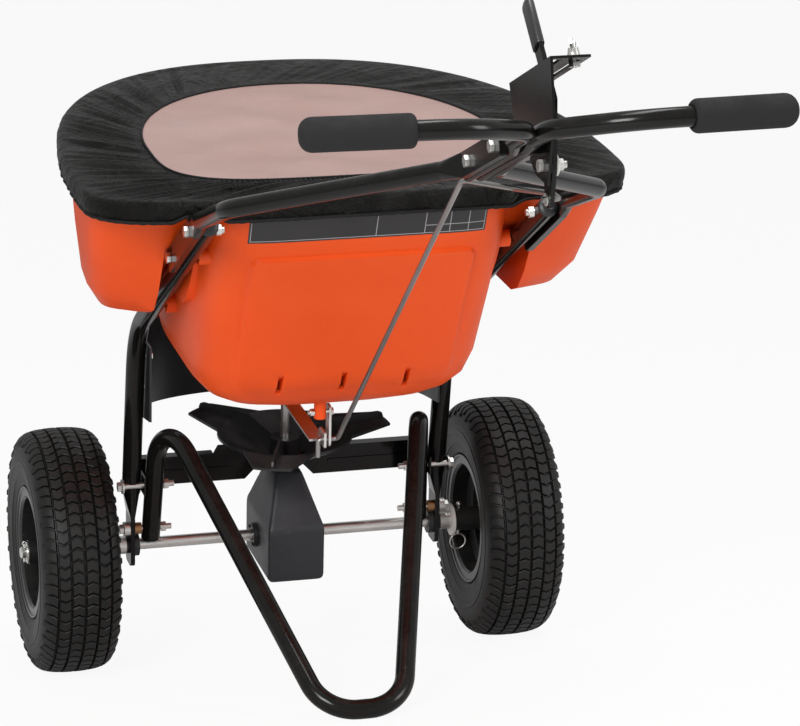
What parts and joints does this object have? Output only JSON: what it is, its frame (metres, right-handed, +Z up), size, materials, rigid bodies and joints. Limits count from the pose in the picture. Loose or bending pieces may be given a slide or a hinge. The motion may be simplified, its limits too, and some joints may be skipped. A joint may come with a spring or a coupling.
{
  "type": "salt spreader",
  "caption": "Walk-behind salt spreader with an orange hopper, rain cover, tube frame, stand and pneumatic wheels.",
  "frame": {"origin": "centre of the bounding box on the floor plane", "axes": "+Z up; +Y is the way it is pushed; +X to the user's right"},
  "size_m": [0.728, 1.4876, 0.9526],
  "materials": {
    "black_paint": "gloss",
    "rim_paint": "satin",
    "orange_plastic": "satin",
    "black_plastic": "matte",
    "zinc": "satin",
    "gear_steel": "satin",
    "bronze": "satin",
    "tyre_rubber": "matte",
    "valve_rubber": "matte",
    "nylon": "satin",
    "foam": "matte",
    "vinyl": "satin",
    "cover_cloth": "matte",
    "window_film": "gloss"
  },
  "bodies": {
    "frame": {"frame_tube_left": "black_paint", "frame_tube_right": "black_paint", "tube_caps": "black_plastic", "cross_member": "black_paint", "stand": "black_paint", "stand_bolts": "zinc", "stand_spacers": "bronze", "axle_bearings": "black_plastic", "gearbox_cover": "black_plastic", "gearbox_bushes": "black_plastic", "shaft_bearing": "bronze", "hopper": "orange_plastic", "outlet_plate": "black_plastic", "shutter_rails": "black_plastic", "hopper_bolts": "zinc", "rain_cover": "cover_cloth", "cover_window": "window_film", "shield": "black_plastic", "shield_bolts": "zinc", "lower_handle_left": "black_paint", "lower_handle_right": "black_paint", "handlebar_left": "black_paint", "handlebar_right": "black_paint", "grip_left": "foam", "grip_right": "foam", "handle_bolts": "zinc", "control_bracket": "black_paint", "lever_bolt": "zinc", "lever_washer": "nylon", "crank_bolt": "zinc"},
    "axle_set": {"axle": "zinc", "crown_gear": "gear_steel", "gear_pin": "zinc", "rim_right": "rim_paint", "tyre_right": "tyre_rubber", "valve_right": "valve_rubber", "hub_spacers": "zinc", "hub_washers": "nylon", "drive_cotter": "zinc", "end_cotters": "zinc"},
    "left_wheel": {"rim_left": "rim_paint", "tyre_left": "tyre_rubber", "valve_left": "valve_rubber"},
    "spinner": {"upright_shaft": "zinc", "pinion": "gear_steel", "impeller": "black_plastic", "impeller_pin": "zinc", "agitator": "zinc"},
    "control_lever": {"lever": "black_paint", "lever_grip": "vinyl"},
    "rod": {"control_rod": "zinc", "rod_clip": "zinc"},
    "crank_arm": {"crank": "zinc"},
    "shutter_plate": {"shutter": "zinc"},
    "stop": {"rate_stop": "zinc", "wing_nut": "zinc"}
  },
  "joints": [
    {"name": "axle_spin", "type": "hinge", "parent": "frame", "child": "axle_set", "pos_m": [0, 0.57877, 0.165], "axis": [1, 0, 0], "continuous": true},
    {"name": "left_wheel_spin", "type": "hinge", "parent": "frame", "child": "left_wheel", "pos_m": [-0.305, 0.57877, 0.165], "axis": [1, 0, 0], "continuous": true},
    {"name": "spinner_spin", "type": "hinge", "parent": "frame", "child": "spinner", "pos_m": [0, 0.55778, 0.27298], "axis": [0, -0.1908, 0.9816], "continuous": true},
    {"name": "lever_swing", "type": "hinge", "parent": "frame", "child": "control_lever", "pos_m": [0.0291, -0.6021, 0.77387], "axis": [-1, 0, 0], "range_deg": [-18, 20]},
    {"name": "rod_swing", "type": "hinge", "parent": "control_lever", "child": "rod", "pos_m": [0.0291, -0.59485, 0.73656], "axis": [-1, 0, 0], "range_deg": [-20, 18]},
    {"name": "crank_swing", "type": "hinge", "parent": "frame", "child": "crank_arm", "pos_m": [-0.005, 0.2828, 0.37743], "axis": [-1, 0, 0], "range_deg": [-18, 20]},
    {"name": "shutter_slide", "type": "slide", "parent": "frame", "child": "shutter_plate", "axis": [0, -0.9816, -0.1908], "range_m": [-0.0117, 0.013]},
    {"name": "stop_slide", "type": "slide", "parent": "frame", "child": "stop", "axis": [0, 0.969, -0.247], "range_m": [0, 0.08]}
  ],
  "couplings": [
    {"joint": "spinner_spin", "follows": "axle_spin", "ratio": -4},
    {"joint": "rod_swing", "follows": "lever_swing", "ratio": -1},
    {"joint": "crank_swing", "follows": "lever_swing", "ratio": 1},
    {"joint": "shutter_slide", "follows": "lever_swing", "m_per_rad": 0.0368}
  ]
}
